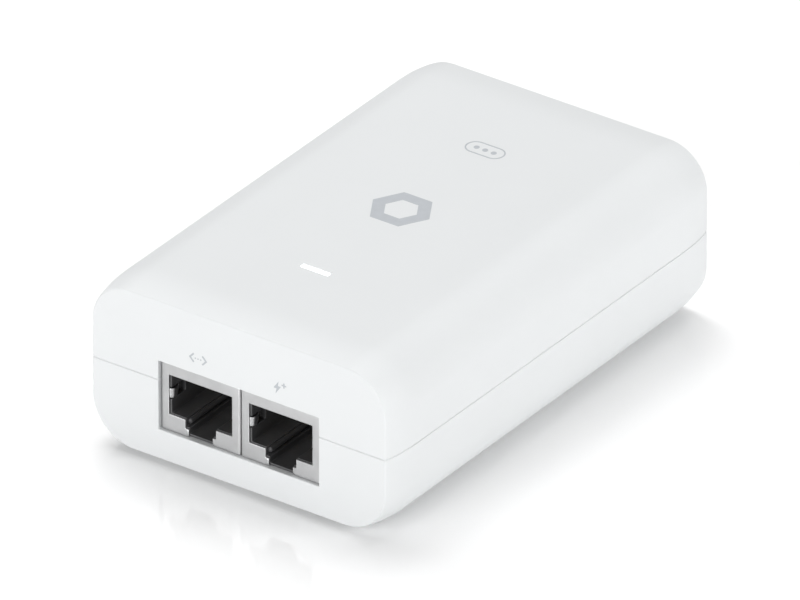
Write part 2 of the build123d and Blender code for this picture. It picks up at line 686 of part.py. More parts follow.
def all_parts():
    """Every node by name."""
    outer = outer_volume()
    inner = case_volume(WALL)
    parts = {
        "top_cover": top_cover(outer, inner),
        "bottom_cover": bottom_cover(outer, inner),
        "rating_label": rating_label(),
        "main_board": main_board(),
        "insulation_sheet": insulation_sheet(),
        "light_pipe": light_pipe(),
        "roof_mark": roof_mark(),
        "roof_badge": roof_badge(),
        "port_icons": on_front_panel(data_icon() + power_icon()),
        "inlet_housing": inlet_housing(),
    }
    for name, x in (("data", -JACK_PITCH / 2), ("power", JACK_PITCH / 2)):
        parts["shield_" + name] = jack_shield(x)
        parts["housing_" + name] = jack_housing(x)
        parts["fixed_wires_" + name] = fixed_wires(x)
        for index, wire_x in enumerate(wire_places()):
            parts[f"contact_{name}_{index + 1}"] = contact_arm(x + wire_x)
    for name, (x, z) in pin_places().items():
        parts["pin_" + name] = inlet_pin(x, z)
    for name, (x, y) in zip(("rear", "front"), screw_places()):
        parts["board_screw_" + name] = board_screw(x, y)
    parts.update(choke_parts())
    parts.update(transformer_parts())
    parts.update(power_parts())
    return parts


for node, shape in all_parts().items():
    export_step(shape, f"parts/{node}.step")

pivot = arm_pivot()
print("contact pivot y, z", round(pivot[0], 3), round(pivot[1], 3))
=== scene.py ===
import bpy
import bmesh
import json
import math
from mathutils import Matrix, Vector


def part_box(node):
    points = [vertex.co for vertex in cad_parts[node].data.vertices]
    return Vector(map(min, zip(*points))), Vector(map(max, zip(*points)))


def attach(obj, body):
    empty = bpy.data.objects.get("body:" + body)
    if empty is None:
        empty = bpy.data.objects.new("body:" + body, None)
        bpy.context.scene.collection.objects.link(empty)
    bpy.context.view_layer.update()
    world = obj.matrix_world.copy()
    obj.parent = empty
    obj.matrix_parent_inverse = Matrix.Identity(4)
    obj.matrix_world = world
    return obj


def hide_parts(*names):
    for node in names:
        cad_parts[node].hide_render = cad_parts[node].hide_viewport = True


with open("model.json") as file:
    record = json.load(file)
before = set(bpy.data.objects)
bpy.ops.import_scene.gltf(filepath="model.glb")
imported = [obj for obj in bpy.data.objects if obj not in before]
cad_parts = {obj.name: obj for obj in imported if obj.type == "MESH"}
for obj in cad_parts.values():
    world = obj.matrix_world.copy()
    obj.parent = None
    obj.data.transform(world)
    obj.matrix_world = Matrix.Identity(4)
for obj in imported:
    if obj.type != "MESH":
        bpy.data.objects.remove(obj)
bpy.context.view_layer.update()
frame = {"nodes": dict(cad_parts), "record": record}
NODES = frame["nodes"]
MM = 0.001

# ---------------------------------------------------------------- sizes, in millimetres


def node_box(node):
    """A CAD node's low and high corners."""
    return [[round(value / MM, 3) for value in corner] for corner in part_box(node)]


CASE_HIGH = node_box("top_cover")[1]
BODY_W, BODY_L, BODY_H = 2 * CASE_HIGH[0], 2 * CASE_HIGH[1], CASE_HIGH[2]
TOP_EDGE_R, BOTTOM_EDGE_R, EDGE_SEGMENTS = 8.5, 9.0, 14
END_RUN, END_ARC_R, END_STEPS = 7.3, 29.0, 8        # the band that curves in at each end
CREASE_R = 0.25
WALL = 2.0
PARTING_Z, SEAM_GAP = BODY_H / 2, 0.16
TONGUE_IN, TONGUE_BACK, TONGUE_Z = 0.12, 1.6, (15.5, 15.775)
END_Y = BODY_L / 2
TANGENT_Y = END_Y - END_RUN
PORT_CUT = (15.95, 6.4, 19.25)                      # half width, low edge, high edge
INLET_CUT = (11.4, 7.5, 23.5)
INLET_CUT_R = 1.8
LIGHT_Y, LIGHT_HALF_W, LIGHT_HALF_T = -24.0, 2.8, 0.575
SLOT_FIT = 0.03
LABEL_HIGH = node_box("rating_label")[1]
LABEL_GAP, LABEL_R, LABEL_RECESS = 0.2, 2.2, 0.3
RECESS_HALF = (LABEL_HIGH[0] + LABEL_GAP, LABEL_HIGH[1] + LABEL_GAP)
LABEL_LINE_IN, LABEL_LINE_W = 1.6, 0.35
RIB_PLACES, RIB_HALF_W, RIB_HALF_T, RIB_DROP, RIB_ROOT = (-10.0, 15.0), 20.0, 0.6, 1.2, 0.5
BOSS_X, BOSS_Y, BOSS_R, BOSS_Z = 21.2, 38.6, 2.8, (1.5, 4.9)
COVER_EASE, SHIELD_EASE, GUIDE_EASE, INLET_EASE = 0.12, 0.07, 0.09, 0.22

SHIELD_LOW, SHIELD_HIGH = node_box("shield_data")
JACK_FACE_Y, JACK_BASE_Z = SHIELD_LOW[1:]
JACK_W, JACK_L, JACK_H = (high - low for low, high in zip(SHIELD_LOW, SHIELD_HIGH))
JACKS = {name: sum(corner[0] for corner in node_box("shield_" + name)) / 2 for name in ("data", "power")}
SHEET, FOLD_R = 0.3, 0.38
WINDOW = (6.3, 9.5, 16.9)                           # half width, low edge, high edge
NOTCH_WIDE, NOTCH_NARROW, NOTCH_STEP_Z = 3.05, 2.375, 7.85
FINGER_L, FINGER_W, FINGER_Z, FINGER_TAPER = 3.0, 1.7, 13.3, 0.3
FINGER_BACK, FINGER_ROOT, FINGER_BOW = 0.15, 0.25, 0.88
GUIDE_LOW, GUIDE_HIGH = node_box("housing_data")
GUIDE_HALF, GUIDE_TOP = (GUIDE_HIGH[0] - GUIDE_LOW[0]) / 2, GUIDE_HIGH[2]
GUIDE_FRONT, GUIDE_REAR = GUIDE_LOW[1], GUIDE_HIGH[1]
CAVITY = (5.95, 9.65, 16.7)
CAVITY_END, POCKET_END = JACK_FACE_Y + 14.0, JACK_FACE_Y + 4.2
POCKET = (7.025, 12.2, 14.4)
CHANNEL_FLOOR_Z, CHANNEL_STEP_Z = 6.95, 8.05
RAIL_R, RAIL_X, RAIL_Z, RAIL_SET_BACK = 0.5, NOTCH_WIDE - 0.1, 8.85, 1.0
SLOT_W, SLOT_TOP_Z, SLOT_START = 0.75, 18.2, JACK_FACE_Y + 2.4
WIRE_R, WIRE_PITCH, WIRE_COUNT = 0.225, 1.02, 8
WIRE_TOP_Z, WIRE_CORNER_R = 17.7, 0.6
BEND_Y, BEND_R, BEND_END_DEG = JACK_FACE_Y + 3.4, 0.35, 250
TAIL_Y, TAIL_LOW_Z = JACK_FACE_Y + 17.6, 3.7
ARM_SLOPE, ARM_LENGTH, ARM_GAP = math.radians(20), 7.8, 0.12
ARM_STRAIGHT = ARM_LENGTH - 0.5
ARM_TIP = ((0.35, -0.04), (0.8, 0.06), (1.3, 0.25))  # the turned-up tip, in Y and Z from the arm's knee
DOME = ((0.35, 0.94), (0.65, 0.76), (0.85, 0.5))    # rise and width of a domed end, in radii
PIN_R, PIN_TAIL_Y, PIN_TIP_Y, PIN_BEND_R = 1.2, 25.3, 42.3, 1.6
PINS = {"line": (-5.0, 13.1), "neutral": (5.0, 13.1), "earth": (0.0, 17.9)}

BAR_TOP_Z, BAR_CORNER_R, BAR_RIM_R = BODY_H - 0.02, 0.3, 0.12
FLANGE_HALF_W, FLANGE_Y, FLANGE_T = 4.2, (LIGHT_Y - 0.9, LIGHT_Y + 1.6), 1.2
STEM_HALF_W, STEM_HALF_T, STEM_FOOT_Z = 2.4, 0.9, 7.8
CHOKE_MIDDLE, CHOKE_TURNS, CHOKE_WIRE = (-14.5, 17.5, 0.0), 26, 0.35

NEAR = 0.01                                         # how close counts as on a plane
WELD = 0.0001

# ---------------------------------------------------------------- materials

FINISHES = {}


def blank_material(name):
    """A material with its Principled shader, and the node tree to add a pattern to."""
    material = bpy.data.materials.new(name)
    material.use_nodes = True
    return material, material.node_tree, material.node_tree.nodes["Principled BSDF"]


def noise(tree, size_mm, detail=3.0, stretch=(1.0, 1.0, 1.0)):
    """Noise on Object coordinates whose blobs are about size_mm across, longer where stretch is larger."""
    coordinates = tree.nodes.new("ShaderNodeTexCoord")
    mapping = tree.nodes.new("ShaderNodeMapping")
    mapping.inputs["Scale"].default_value = [1 / (size_mm * MM * s) for s in stretch]
    texture = tree.nodes.new("ShaderNodeTexNoise")
    texture.inputs["Scale"].default_value = 1.0
    texture.inputs["Detail"].default_value = detail
    tree.links.new(coordinates.outputs["Object"], mapping.inputs["Vector"])
    tree.links.new(mapping.outputs["Vector"], texture.inputs["Vector"])
    return texture.outputs["Fac"]


def remap(tree, value, low, high, from_low=0.3, from_high=0.7):
    """A pattern's middle range spread from low to high."""
    node = tree.nodes.new("ShaderNodeMapRange")
    node.inputs["From Min"].default_value = from_low
    node.inputs["From Max"].default_value = from_high
    node.inputs["To Min"].default_value = low
    node.inputs["To Max"].default_value = high
    tree.links.new(value, node.inputs["Value"])
    return node.outputs["Result"]


def blend(tree, factor, colour_a, colour_b):
    """A colour that goes from a to b with a pattern."""
    node = tree.nodes.new("ShaderNodeMix")
    node.data_type = "RGBA"
    node.inputs["A"].default_value = (*colour_a, 1)
    node.inputs["B"].default_value = (*colour_b, 1)
    tree.links.new(factor, node.inputs["Factor"])
    return node.outputs["Result"]


def bump(tree, shader, height, depth_mm, after=None):
    """Raise the surface by a pattern, depth_mm from its lowest to its highest."""
    node = tree.nodes.new("ShaderNodeBump")
    node.inputs["Distance"].default_value = depth_mm * MM
    node.inputs["Strength"].default_value = 1.0
    tree.links.new(height, node.inputs["Height"])
    if after is not None:
        tree.links.new(after, node.inputs["Normal"])
    tree.links.new(node.outputs["Normal"], shader.inputs["Normal"])


def scaled(colour, factor):
    """A lighter or darker colour."""
    return tuple(min(1.0, c * factor) for c in colour)


def finish(name, colour, rough, metallic=0.0, tint=0.03, rough_spread=0.05, grain_mm=0.15, grain_depth=0.004,
           cloud_mm=9.0, stretch=(1, 1, 1), coat=0.0, specular=0.5):
    """A moulded, plated or painted finish: fine grain, soft clouds in colour and uneven gloss."""
    material, tree, shader = blank_material(name)
    clouds = noise(tree, cloud_mm, 4.0)
    colour_out = blend(tree, remap(tree, clouds, 0, 1), scaled(colour, 1 - tint), scaled(colour, 1 + tint))
    tree.links.new(colour_out, shader.inputs["Base Color"])
    grain = noise(tree, grain_mm, 3.0, stretch)
    tree.links.new(remap(tree, grain, rough - rough_spread, rough + rough_spread), shader.inputs["Roughness"])
    bump(tree, shader, grain, grain_depth)
    shader.inputs["Metallic"].default_value = metallic
    shader.inputs["Specular IOR Level"].default_value = specular
    shader.inputs["Coat Weight"].default_value = coat
    FINISHES[name] = material


def parts_of(name):
    """A finish's node tree and shader, with its colour and its grain's normal as sockets."""
    tree = FINISHES[name].node_tree
    shader = tree.nodes["Principled BSDF"]
    base, normal = (shader.inputs[socket].links[0].from_socket for socket in ("Base Color", "Normal"))
    return tree, shader, base, normal


def paint_over(name, mask, colour):
    """Put a second colour on a finish where a mask is 1."""
    tree, shader, base, _ = parts_of(name)
    node = tree.nodes.new("ShaderNodeMix")
    node.data_type = "RGBA"
    node.inputs["B"].default_value = (*colour, 1)
    tree.links.new(base, node.inputs["A"])
    tree.links.new(mask, node.inputs["Factor"])
    tree.links.new(node.outputs["Result"], shader.inputs["Base Color"])


def object_axes(tree, middle=(0, 0, 0)):
    """Object coordinates measured from middle, in millimetres, as X, Y and Z sockets and as one vector."""
    coordinates = tree.nodes.new("ShaderNodeTexCoord")
    mapping = tree.nodes.new("ShaderNodeMapping")
    mapping.inputs["Scale"].default_value = (1 / MM,) * 3
    mapping.inputs["Location"].default_value = [-value for value in middle]
    axes = tree.nodes.new("ShaderNodeSeparateXYZ")
    tree.links.new(coordinates.outputs["Object"], mapping.inputs["Vector"])
    tree.links.new(mapping.outputs["Vector"], axes.inputs["Vector"])
    return axes.outputs["X"], axes.outputs["Y"], axes.outputs["Z"], mapping.outputs["Vector"]


def sum_of(tree, operation, *values):
    """One Math node on numbers and sockets."""
    node = tree.nodes.new("ShaderNodeMath")
    node.operation = operation
    for socket, value in zip(node.inputs, values):
        if isinstance(value, (int, float)):
            socket.default_value = value
        else:
            tree.links.new(value, socket)
    return node.outputs["Value"]


def printed_line(name, half_w, half_l, line_w, colour):
    """A thin printed rectangle on a label's face."""
    tree = FINISHES[name].node_tree
    x, y, _, _ = object_axes(tree)
    beyond_x = sum_of(tree, "SUBTRACT", sum_of(tree, "ABSOLUTE", x), half_w)
    beyond_y = sum_of(tree, "SUBTRACT", sum_of(tree, "ABSOLUTE", y), half_l)
    outside = sum_of(tree, "MAXIMUM", beyond_x, beyond_y)
    paint_over(name, sum_of(tree, "COMPARE", outside, 0.0, line_w / 2), colour)


def ridges(name, phase_of, depth_mm, middle=(0, 0, 0)):
    """Ridges of tape or wound wire, where phase_of turns the X, Y and Z sockets into an angle."""
    tree, shader, _, under = parts_of(name)
    phase = phase_of(tree, *object_axes(tree, middle)[:3])
    bump(tree, shader, sum_of(tree, "ABSOLUTE", sum_of(tree, "SINE", phase)), depth_mm, after=under)


def tape_layers(tree, x, y, z, pitch_mm=2.2):
    """Turns of tape one above the other."""
    return sum_of(tree, "MULTIPLY", z, 2 * math.pi / pitch_mm)


def wire_turns(tree, x, y, z):
    """Turns of wire side by side round an upright ring."""
    return sum_of(tree, "MULTIPLY", sum_of(tree, "ARCTAN2", y, x), float(CHOKE_TURNS))


def board_tracks(name, per_mm=0.28, evenness=0.35, gap=0.09, copper_green=(0.05, 0.27, 0.10)):
    """Lighter copper tracks under the solder mask."""
    tree = FINISHES[name].node_tree
    cells = tree.nodes.new("ShaderNodeTexVoronoi")
    cells.feature = "DISTANCE_TO_EDGE"
    cells.inputs["Scale"].default_value = per_mm
    cells.inputs["Randomness"].default_value = evenness
    tree.links.new(object_axes(tree)[3], cells.inputs["Vector"])
    paint_over(name, sum_of(tree, "LESS_THAN", cells.outputs["Distance"], gap), copper_green)


def outer_finishes():
    finish("case_plastic", (0.645, 0.658, 0.664), 0.56, tint=0.006, rough_spread=0.04, grain_mm=0.11,
           grain_depth=0.003, cloud_mm=14.0, specular=0.4)
    finish("jack_shield", (0.475, 0.478, 0.482), 0.36, metallic=1.0, tint=0.05, rough_spread=0.08,
           stretch=(6, 6, 0.6), cloud_mm=3.5)
    finish("jack_plastic", (0.06, 0.06, 0.062), 0.4, tint=0.12, grain_mm=0.1, cloud_mm=2.5)
    finish("gold_contact", (0.86, 0.62, 0.26), 0.2, metallic=1.0, tint=0.06, stretch=(0.5, 8, 0.5))
    finish("nickel_pin", (0.70, 0.68, 0.63), 0.2, metallic=1.0, tint=0.04, stretch=(0.6, 9, 0.6))
    finish("inlet_plastic", (0.022, 0.022, 0.023), 0.42, tint=0.1, grain_mm=0.12, cloud_mm=3.0)
    finish("grey_ink", (0.40, 0.42, 0.445), 0.6, grain_mm=0.08, grain_depth=0.006, cloud_mm=1.5)
    finish("status_light", (0.93, 0.95, 0.97), 0.28, tint=0.02, cloud_mm=1.5, coat=0.3)
    finish("label_film", (0.62, 0.63, 0.64), 0.36, tint=0.015, grain_mm=0.3, cloud_mm=12.0, coat=0.2)
    lamp = FINISHES["status_light"].node_tree.nodes["Principled BSDF"]
    lamp.inputs["Emission Color"].default_value = (0.93, 0.97, 1, 1)
    lamp.inputs["Emission Strength"].default_value = 0.6
    printed_line("label_film", LABEL_HIGH[0] - LABEL_LINE_IN, LABEL_HIGH[1] - LABEL_LINE_IN, LABEL_LINE_W,
                 (0.2, 0.21, 0.22))


def inner_finishes():
    finish("screw_steel", (0.5, 0.5, 0.51), 0.32, metallic=1.0, tint=0.08, cloud_mm=1.2)
    finish("led_body", (0.88, 0.82, 0.62), 0.35, tint=0.06, cloud_mm=0.8)
    finish("board_laminate", (0.02, 0.16, 0.06), 0.28, tint=0.1, grain_mm=0.4, cloud_mm=5.0, coat=0.3)
    finish("insulation_film", (0.72, 0.71, 0.62), 0.22, grain_mm=1.5, cloud_mm=16.0)
    finish("fuse_case", (0.022, 0.02, 0.02), 0.36, tint=0.1, cloud_mm=2.0)
    finish("film_capacitor_case", (0.62, 0.42, 0.04), 0.38, tint=0.06, cloud_mm=4.0)
    finish("varistor_coat", (0.03, 0.09, 0.35), 0.26, tint=0.12, grain_mm=0.8, grain_depth=0.03)
    finish("safety_capacitor_coat", (0.05, 0.16, 0.42), 0.26, tint=0.12, grain_mm=0.8, grain_depth=0.03)
    finish("capacitor_sleeve", (0.03, 0.032, 0.045), 0.26, tint=0.1, stretch=(1, 1, 14), grain_mm=0.4,
           coat=0.3)
    finish("ferrite", (0.035, 0.035, 0.038), 0.55, tint=0.25, grain_mm=0.25, grain_depth=0.01, cloud_mm=0.5)
    finish("enamelled_copper", (0.55, 0.2, 0.07), 0.24, metallic=1.0, tint=0.12, cloud_mm=1.0)
    finish("winding_tape", (0.75, 0.55, 0.06), 0.33, tint=0.05, cloud_mm=5.0, coat=0.25)
    finish("heatsink_aluminium", (0.72, 0.73, 0.74), 0.34, metallic=1.0, tint=0.05, rough_spread=0.09,
           stretch=(0.6, 12, 0.6))
    finish("chip_epoxy", (0.022, 0.022, 0.023), 0.55, tint=0.15, grain_mm=0.07, grain_depth=0.01,
           cloud_mm=1.0)
    ridges("winding_tape", tape_layers, 0.05)
    ridges("enamelled_copper", wire_turns, CHOKE_WIRE, CHOKE_MIDDLE)
    board_tracks("board_laminate")


outer_finishes()
inner_finishes()
for entry in frame["record"]["subparts"]:
    mesh = NODES[entry["node"]].data
    mesh.materials.clear()
    mesh.materials.append(FINISHES[entry["material_slot"]])

# ---------------------------------------------------------------- shaping


def block(x, y, z):
    """A box between two corners, each axis given as (low, high)."""
    shape = bmesh.new()
    bmesh.ops.create_cube(shape, size=1.0)
    bmesh.ops.scale(shape, vec=[high - low for low, high in (x, y, z)], verts=shape.verts)
    bmesh.ops.translate(shape, vec=[(high + low) / 2 for low, high in (x, y, z)], verts=shape.verts)
    return shape


def everything(shape):
    """Every point, edge and face of a shape."""
    return shape.verts[:] + shape.edges[:] + shape.faces[:]


def middle_of(item):
    """The middle of a face or of an edge."""
    if isinstance(item, bmesh.types.BMFace):
        return item.calc_center_median()
    return (item.verts[0].co + item.verts[1].co) / 2


def inside(value, low, high):
    return low < value < high


def in_window(point, window):
    """Whether a point lies in a window given as half width, low edge and high edge."""
    return abs(point.x) < window[0] and inside(point.z, window[1], window[2])


def span(edge, axis):
    """How far an edge runs along one axis."""
    return abs(edge.verts[0].co[axis] - edge.verts[1].co[axis])


def score(shape, faces, axis, *places):
    """Cut the faces that faces() picks along planes across one axis."""
    for at in places:
        place, normal = Vector((0, 0, 0)), Vector((0, 0, 0))
        place[axis], normal[axis] = at, 1
        picked = faces()
        edges = {edge for face in picked for edge in face.edges}
        verts = {vert for face in picked for vert in face.verts}
        bmesh.ops.bisect_plane(shape, geom=picked + list(edges) + list(verts), dist=WELD,
                               plane_co=place, plane_no=normal)


def open_up(shape, faces, belongs):
    """Delete those of the picked faces whose middle belongs."""
    bmesh.ops.delete(shape, geom=[face for face in faces() if belongs(middle_of(face))], context="FACES")


def push(shape, faces, travel):
    """Extrude the given faces by travel, and return the moved faces."""
    moved = bmesh.ops.extrude_face_region(shape, geom=faces)["geom"]
    bmesh.ops.delete(shape, geom=faces, context="FACES")
    verts = [item for item in moved if isinstance(item, bmesh.types.BMVert)]
    bmesh.ops.translate(shape, vec=travel, verts=verts)
    return [item for item in moved if isinstance(item, bmesh.types.BMFace)]


def round_edges(shape, edges, radius, segments):
    """Round the given edges of a shape."""
    bmesh.ops.bevel(shape, geom=edges, offset=radius, offset_type="OFFSET", segments=segments, profile=0.5,
                    affect="EDGES", material=-1)


def add_to(shape, other):
    """Put another shape's faces into this one."""
    carrier = bpy.data.meshes.new("carrier")
    other.to_mesh(carrier)
    other.free()
    shape.from_mesh(carrier)
    bpy.data.meshes.remove(carrier)


def make_piece(name, shape, slot, replaced, body="injector", sharp=38.0, in_mm=True):
    """Finish a shape as a piece with its material, which rides on its body in place of CAD nodes."""
    bmesh.ops.remove_doubles(shape, verts=shape.verts, dist=0.0005 if in_mm else 1e-6)
    if in_mm:
        bmesh.ops.scale(shape, vec=(MM, MM, MM), verts=shape.verts)
    mesh = bpy.data.meshes.new(name)
    shape.to_mesh(mesh)
    shape.free()
    mesh.shade_smooth()
    mesh.set_sharp_from_angle(angle=math.radians(sharp))
    mesh.materials.append(FINISHES[slot])
    piece = bpy.data.objects.new(name, mesh)
    bpy.context.scene.collection.objects.link(piece)
    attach(piece, body)
    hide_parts(*replaced)
    return piece


def ease(piece, width, segments=2, angle=50.0):
    """Round off a piece's sharp edges and keep its flats flat."""
    bevel = piece.modifiers.new("eased edges", "BEVEL")
    bevel.width = width * MM
    bevel.segments = segments
    bevel.limit_method = "ANGLE"
    bevel.angle_limit = math.radians(angle)
    flats = piece.modifiers.new("flat shading", "WEIGHTED_NORMAL")
    flats.keep_sharp = True


# ---------------------------------------------------------------- case


def curve_in(vert, inset):
    """Move a point of the end band towards the middle of its edge's arc."""
    upper = vert.co.z > PARTING_Z
    radius = TOP_EDGE_R if upper else BOTTOM_EDGE_R
    core_x = BODY_W / 2 - radius
    core_z = min(vert.co.z, BODY_H - radius) if upper else max(vert.co.z, radius)
    core = Vector((max(-core_x, min(core_x, vert.co.x)), vert.co.y, core_z))
    vert.co += (core - vert.co).normalized() * inset


def case_skin(shrink):
    """The case's closed skin, moved in by shrink, with a plain crease round each end panel."""
    half = (BODY_W / 2 - shrink, END_Y - shrink)
    skin = block((-half[0], half[0]), (-half[1], half[1]), (shrink, BODY_H - shrink))
    for upper, radius in ((True, TOP_EDGE_R), (False, BOTTOM_EDGE_R)):
        long_edges = [edge for edge in skin.edges
                      if span(edge, 1) > BODY_W
                      and (edge.verts[0].co.z > PARTING_Z) == upper
                      and abs(edge.verts[0].co.x) > half[0] - NEAR]
        round_edges(skin, long_edges, radius - shrink, EDGE_SEGMENTS)
    for side in (-1, 1):
        stations = [side * (TANGENT_Y + (END_RUN - shrink) * step / END_STEPS) for step in range(END_STEPS)]
        score(skin, lambda: skin.faces[:], 1, *stations)
    for vert in skin.verts:
        along = abs(vert.co.y) - TANGENT_Y
        if along > NEAR / 10:
            curve_in(vert, END_ARC_R - math.sqrt((END_ARC_R - shrink) ** 2 - along ** 2) - shrink)
    return skin


def cut_window(skin, side, window):
    """Open a window in one end panel."""
    def panel():
        return [face for face in skin.faces
                if middle_of(face).y * side > TANGENT_Y and abs(face.normal.y) > 0.99]
    half_w, low, high = window
    score(skin, panel, 0, -half_w, half_w)
    score(skin, panel, 2, low, high)
    open_up(skin, panel, lambda point: in_window(point, window))


def cut_light_slot(skin):
    """Open the status light's slot in the roof."""
    def roof():
        return [face for face in skin.faces if face.normal.z > 0.99 and abs(middle_of(face).x) < BODY_W / 4]
    half_w, half_t = LIGHT_HALF_W + SLOT_FIT, LIGHT_HALF_T + SLOT_FIT
    score(skin, roof, 0, -half_w, half_w)
    score(skin, roof, 1, LIGHT_Y - half_t, LIGHT_Y + half_t)
    open_up(skin, roof, lambda point: abs(point.x) < half_w and abs(point.y - LIGHT_Y) < half_t)


def half_skin(shrink, low, high):
    """The part of the case's skin between two heights, with the windows open."""
    skin = case_skin(shrink)
    bmesh.ops.bisect_plane(skin, geom=everything(skin), dist=WELD, plane_co=(0, 0, low), plane_no=(0, 0, 1),
                           clear_inner=True)
    bmesh.ops.bisect_plane(skin, geom=everything(skin), dist=WELD, plane_co=(0, 0, high), plane_no=(0, 0, 1),
                           clear_outer=True)
    skin.normal_update()
    cut_window(skin, -1, PORT_CUT)
    cut_window(skin, 1, INLET_CUT)
    return skin


def join_skins(outer, inner, groups):
    """Make a wall of an outer and an inner skin, with a rim between each group of open edges."""
    bmesh.ops.reverse_faces(inner, faces=inner.faces)
    add_to(outer, inner)
    for belongs in groups:
        rim = [edge for edge in outer.edges if edge.is_boundary and belongs(middle_of(edge))]
        bmesh.ops.bridge_loops(outer, edges=rim)
    bmesh.ops.recalc_face_normals(outer, faces=outer.faces)
    return outer


def at_inlet_corner(vert):
    """Whether a point of the rear wall lies on a corner of the inlet's window."""
    off_z = min(abs(vert.co.z - edge_z) for edge_z in INLET_CUT[1:])
    return vert.co.y > END_Y - WALL - 0.1 and abs(abs(vert.co.x) - INLET_CUT[0]) < NEAR and off_z < NEAR


def ease_creases(wall):
    """Round the creases of the two end panels and the corners of the inlet's window."""
    creases = [edge for edge in wall.edges if len(edge.link_faces) == 2
               and min(abs(vert.co.y) for vert in edge.verts) > END_Y - NEAR
               and any(abs(face.normal.y) > 0.99 for face in edge.link_faces)
               and any(inside(abs(face.normal.y), 0.1, 0.5) for face in edge.link_faces)]
    round_edges(wall, creases, CREASE_R, 3)
    corners = [edge for edge in wall.edges if all(at_inlet_corner(vert) for vert in edge.verts)
               and span(edge, 1) > WALL / 2]
    round_edges(wall, corners, INLET_CUT_R, 6)


def top_cover():
    """The upper shell: windows, the light's slot and two stiffening ribs under the roof."""
    low, ceiling = PARTING_Z + SEAM_GAP / 2, BODY_H - WALL
    outer, inner = half_skin(0.0, low, BODY_H + 1), half_skin(WALL, low, BODY_H + 1)
    for skin in (outer, inner):
        cut_light_slot(skin)
    slot_from = ceiling - WALL / 4
    wall = join_skins(outer, inner, (lambda point: point.z < slot_from, lambda point: point.z > slot_from))
    ease_creases(wall)
    for rib_y in RIB_PLACES:
        add_to(wall, block((-RIB_HALF_W, RIB_HALF_W), (rib_y - RIB_HALF_T, rib_y + RIB_HALF_T),
                           (ceiling - RIB_DROP, ceiling + RIB_ROOT)))
    return make_piece("top_cover_moulding", wall, "case_plastic", ["top_cover"])


def sink_label_recess(skin):
    """The shallow recess for the label in the underside."""
    def floor():
        return [face for face in skin.faces if face.normal.z < -0.99 and middle_of(face).z < 0.1]
    for axis, half in enumerate(RECESS_HALF):
        score(skin, floor, axis, -half, half)
    middle = [face for face in floor()
              if all(abs(middle_of(face)[axis]) < half for axis, half in enumerate(RECESS_HALF))]
    push(skin, middle, (0, 0, LABEL_RECESS))
    corners = [edge for edge in skin.edges if span(edge, 2) > LABEL_RECESS / 2
               and all(abs(abs(vert.co[axis]) - half) < NEAR
                       for vert in edge.verts for axis, half in enumerate(RECESS_HALF))]
    round_edges(skin, corners, LABEL_R, 6)


def bottom_cover():
    """The lower shell: windows, the label's recess, the lip at the parting line and four bosses."""
    high = PARTING_Z - SEAM_GAP / 2
    outer, inner = half_skin(0.0, -1, high), half_skin(WALL, -1, high)
    sink_label_recess(outer)
    wall = join_skins(outer, inner, (lambda point: True,))
    ease_creases(wall)
    add_to(wall, join_skins(half_skin(TONGUE_IN, *TONGUE_Z), half_skin(TONGUE_BACK, *TONGUE_Z),
                            (lambda point: point.x < 0, lambda point: point.x > 0)))
    for x in (-BOSS_X, BOSS_X):
        for y in (-BOSS_Y, BOSS_Y):
            boss = bmesh.new()
            bmesh.ops.create_cone(boss, cap_ends=True, segments=32, radius1=BOSS_R, radius2=BOSS_R,
                                  depth=BOSS_Z[1] - BOSS_Z[0],
                                  matrix=Matrix.Translation((x, y, sum(BOSS_Z) / 2)))
            add_to(wall, boss)
    return make_piece("bottom_cover_moulding", wall, "case_plastic", ["bottom_cover"])


for cover in (top_cover(), bottom_cover()):
    ease(cover, COVER_EASE)

# ---------------------------------------------------------------- round wire and pins


def on_arc(middle, radius, start, end, steps):
    """Points in Y and Z along an arc, its angles in degrees."""
    angles = [math.radians(start + (end - start) * step / steps) for step in range(steps + 1)]
    return [(middle[0] + radius * math.cos(a), middle[1] + radius * math.sin(a)) for a in angles]


def round_bar(route, radius, segments, domed):
    """A round bar along a route of points, with its far end domed where asked."""
    stations = []
    for index, point in enumerate(route):
        before, after = route[max(index - 1, 0)], route[min(index + 1, len(route) - 1)]
        turn = (Vector(after) - Vector(before)).to_track_quat("Z", "X").to_matrix().to_4x4()
        stations.append((Matrix.Translation(point) @ turn, 1.0))
    if domed:
        last = stations[-1][0]
        stations += [(last @ Matrix.Translation((0, 0, radius * rise)), width) for rise, width in DOME]
    bar = bmesh.new()
    bmesh.ops.create_circle(bar, cap_ends=False, radius=radius, segments=segments)
    ring, placed = bar.edges[:], Matrix.Identity(4)
    for index, (station, width) in enumerate(stations):
        if index:
            grown = bmesh.ops.extrude_edge_only(bar, edges=ring)["geom"]
            ring = [item for item in grown if isinstance(item, bmesh.types.BMEdge)
                    and all(vert in grown for vert in item.verts)]
        target = station @ Matrix.Diagonal((width, width, 1, 1))
        verts = {vert for edge in ring for vert in edge.verts}
        bmesh.ops.transform(bar, matrix=target @ placed.inverted(), verts=list(verts))
        placed = target
    bmesh.ops.holes_fill(bar, edges=[edge for edge in bar.edges if edge.is_boundary])
    bmesh.ops.recalc_face_normals(bar, faces=bar.faces)
    return bar


# ---------------------------------------------------------------- jacks


def in_shield_window(point):
    """Whether a point of the shield's front lies in its stepped plug window."""
    return (in_window(point, WINDOW) or in_window(point, (NOTCH_WIDE, NOTCH_STEP_Z, WINDOW[1]))
            or (abs(point.x) < NOTCH_NARROW and point.z < NOTCH_STEP_Z))


